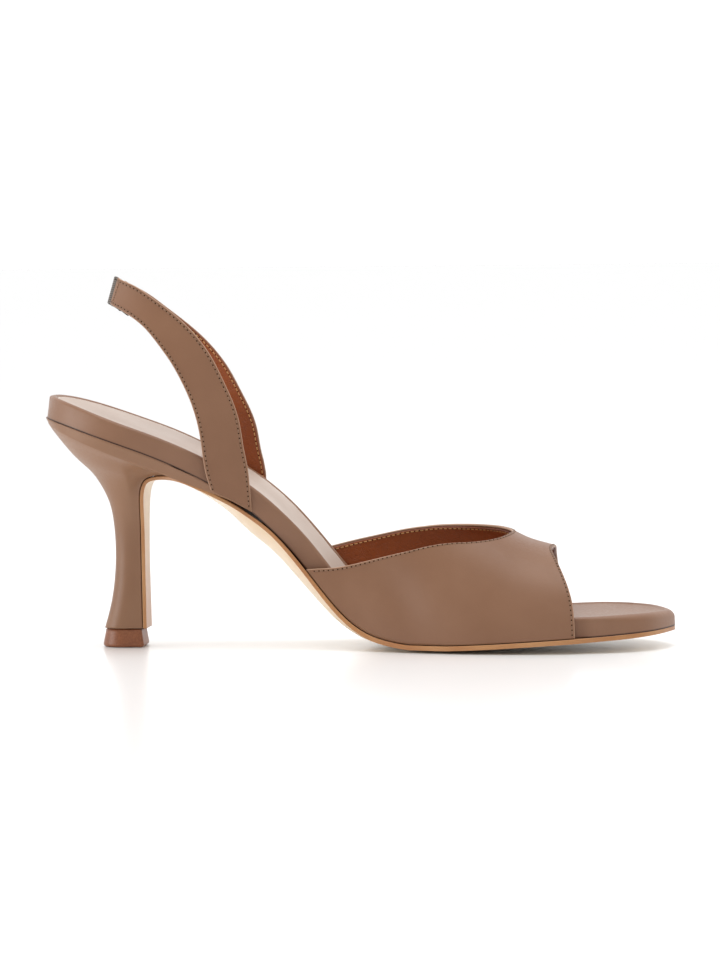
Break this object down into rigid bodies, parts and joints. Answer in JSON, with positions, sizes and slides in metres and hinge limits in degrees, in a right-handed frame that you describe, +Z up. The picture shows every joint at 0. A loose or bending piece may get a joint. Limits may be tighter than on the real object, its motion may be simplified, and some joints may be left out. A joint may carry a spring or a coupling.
{
  "type": "slingback sandal",
  "caption": "High-heeled leather slingback sandal for the left foot, with a wide band over the forefoot, an open toe, a strap around the back and a tall flared heel",
  "frame": {"origin": "On the floor plane, in the middle of the flat spot under the ball of the foot.", "axes": "+X runs along the shoe from heel to toe, +Y points to the shoe's outer (lateral) side, +Z points up from the floor."},
  "size_m": [0.2217, 0.0788, 0.1305],
  "materials": {
    "upper_leather": "smooth matte taupe nappa",
    "sole_leather": "smooth natural tan",
    "elastic": "woven matte",
    "tip_plastic": "satin brown",
    "lining_leather": "satin cognac",
    "sock_leather": "smooth pale beige",
    "thread": "matte"
  },
  "bodies": {
    "root": {"outsole": "sole_leather", "insole": "upper_leather", "vamp": "upper_leather", "strap_medial": "upper_leather", "strap_lateral": "upper_leather", "strap_elastic": "elastic", "heel": "upper_leather", "top_piece": "tip_plastic"}
  },
  "joints": []
}
